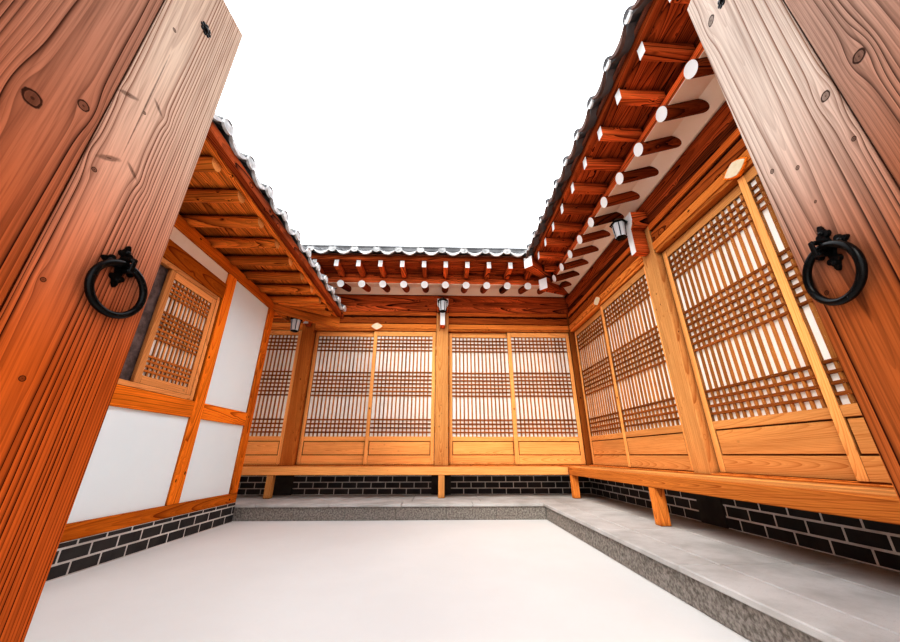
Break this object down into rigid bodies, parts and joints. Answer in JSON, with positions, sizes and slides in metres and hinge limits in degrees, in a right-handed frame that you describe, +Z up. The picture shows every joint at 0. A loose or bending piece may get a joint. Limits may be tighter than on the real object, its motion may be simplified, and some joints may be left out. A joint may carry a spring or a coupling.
{
  "type": "courtyard hanok house",
  "caption": "Tiled courtyard house with two wings, sliding lattice doors on a raised veranda, a lower hipped wing and a roofed plank gate.",
  "frame": {"origin": "middle of the plan, on the ground", "axes": "+Z up, +X right along the back wing as seen from the gate, +Y from the gate towards the back wing"},
  "size_m": [12.25, 11.12, 5.6133],
  "materials": {
    "pine": "oiled pine, satin",
    "dark_pine": "red-brown stained pine, satin",
    "lattice_door": "clear varnished pine",
    "white_plaster": "smooth lime plaster",
    "granite": "dressed stone, matt",
    "brick": "dark brick with pale joints",
    "roof_tile": "fired clay, matt",
    "iron": "blackened iron"
  },
  "bodies": {
    "house": {"stylobate": "granite", "base_main": "brick", "base_left": "brick", "veranda_back": "pine", "veranda_right": "pine", "frame_back_court": "pine", "frame_right_court": "pine", "wall_back_rear": "white_plaster", "wall_right_outer": "white_plaster", "wall_west_end": "white_plaster", "wall_south_end": "white_plaster", "window_rear_1": "lattice_door", "window_rear_2": "lattice_door", "window_outer_1": "lattice_door", "window_outer_2": "lattice_door", "eave_back_court": "dark_pine", "eave_back_rear": "dark_pine", "eave_right_court": "dark_pine", "eave_right_outer": "dark_pine", "valley_rafter": "dark_pine", "roof_back_court": "roof_tile", "roof_back_rear": "roof_tile", "roof_right_court": "roof_tile", "roof_right_outer": "roof_tile", "ridge_main": "roof_tile", "bargeboard_west": "dark_pine", "bargeboard_south": "dark_pine", "lantern_back": "iron", "lantern_right": "iron", "lantern_left": "iron", "wall_left_court": "pine", "wall_left_west": "pine", "wall_left_north": "pine", "wall_left_south": "pine", "window_left": "lattice_door", "eave_left": "pine", "roof_left": "roof_tile", "ridge_left": "roof_tile", "gate_frame": "dark_pine", "gate_wall_left": "white_plaster", "gate_wall_right": "white_plaster", "gate_roof": "roof_tile"},
    "leaf_back_end_a": {"door_back_end_a": "lattice_door"},
    "leaf_back_end_b": {"door_back_end_b": "lattice_door"},
    "leaf_back_left_a": {"door_back_left_a": "lattice_door"},
    "leaf_back_left_b": {"door_back_left_b": "lattice_door"},
    "leaf_back_middle_a": {"door_back_middle_a": "lattice_door"},
    "leaf_back_middle_b": {"door_back_middle_b": "lattice_door"},
    "leaf_right_near_corner_a": {"door_right_near_corner_a": "lattice_door"},
    "leaf_right_near_corner_b": {"door_right_near_corner_b": "lattice_door"},
    "leaf_right_near_gate_a": {"door_right_near_gate_a": "lattice_door"},
    "leaf_right_near_gate_b": {"door_right_near_gate_b": "lattice_door"},
    "gate_left": {"gate_leaf_left": "dark_pine"},
    "gate_right": {"gate_leaf_right": "dark_pine"},
    "ring_left": {"gate_ring_left": "iron"},
    "ring_right": {"gate_ring_right": "iron"}
  },
  "joints": [
    {"name": "slide_back_end_a", "type": "slide", "parent": "house", "child": "leaf_back_end_a", "axis": [1, 0, 0], "range_m": [0, 1.05]},
    {"name": "slide_back_end_b", "type": "slide", "parent": "house", "child": "leaf_back_end_b", "axis": [-1, 0, 0], "range_m": [0, 1.05]},
    {"name": "slide_back_left_a", "type": "slide", "parent": "house", "child": "leaf_back_left_a", "axis": [1, 0, 0], "range_m": [0, 1.05]},
    {"name": "slide_back_left_b", "type": "slide", "parent": "house", "child": "leaf_back_left_b", "axis": [-1, 0, 0], "range_m": [0, 1.05]},
    {"name": "slide_back_middle_a", "type": "slide", "parent": "house", "child": "leaf_back_middle_a", "axis": [1, 0, 0], "range_m": [0, 1.065]},
    {"name": "slide_back_middle_b", "type": "slide", "parent": "house", "child": "leaf_back_middle_b", "axis": [-1, 0, 0], "range_m": [0, 1.065]},
    {"name": "slide_right_near_corner_a", "type": "slide", "parent": "house", "child": "leaf_right_near_corner_a", "axis": [0, 1, 0], "range_m": [0, 1.16]},
    {"name": "slide_right_near_corner_b", "type": "slide", "parent": "house", "child": "leaf_right_near_corner_b", "axis": [0, -1, 0], "range_m": [0, 1.16]},
    {"name": "slide_right_near_gate_a", "type": "slide", "parent": "house", "child": "leaf_right_near_gate_a", "axis": [0, 1, 0], "range_m": [0, 1.07]},
    {"name": "slide_right_near_gate_b", "type": "slide", "parent": "house", "child": "leaf_right_near_gate_b", "axis": [0, -1, 0], "range_m": [0, 1.07]},
    {"name": "gate_hinge_left", "type": "hinge", "parent": "house", "child": "gate_left", "pos_m": [-1.13597, -4.22906, 0.09], "axis": [0, 0, 1], "range_deg": [-90, 8]},
    {"name": "gate_hinge_right", "type": "hinge", "parent": "house", "child": "gate_right", "pos_m": [0.23997, -4.33494, 0.09], "axis": [0, 0, 1], "range_deg": [-2, 98]},
    {"name": "ring_swing_left", "type": "hinge", "parent": "gate_left", "child": "ring_left", "pos_m": [-1.05281, -3.63068, 1.109], "axis": [-0.0767, -0.9971, 0], "range_deg": [0, 80]},
    {"name": "ring_swing_right", "type": "hinge", "parent": "gate_right", "child": "ring_right", "pos_m": [0.33331, -3.73806, 1.109], "axis": [0.2147, 0.9767, 0], "range_deg": [0, 80]}
  ]
}
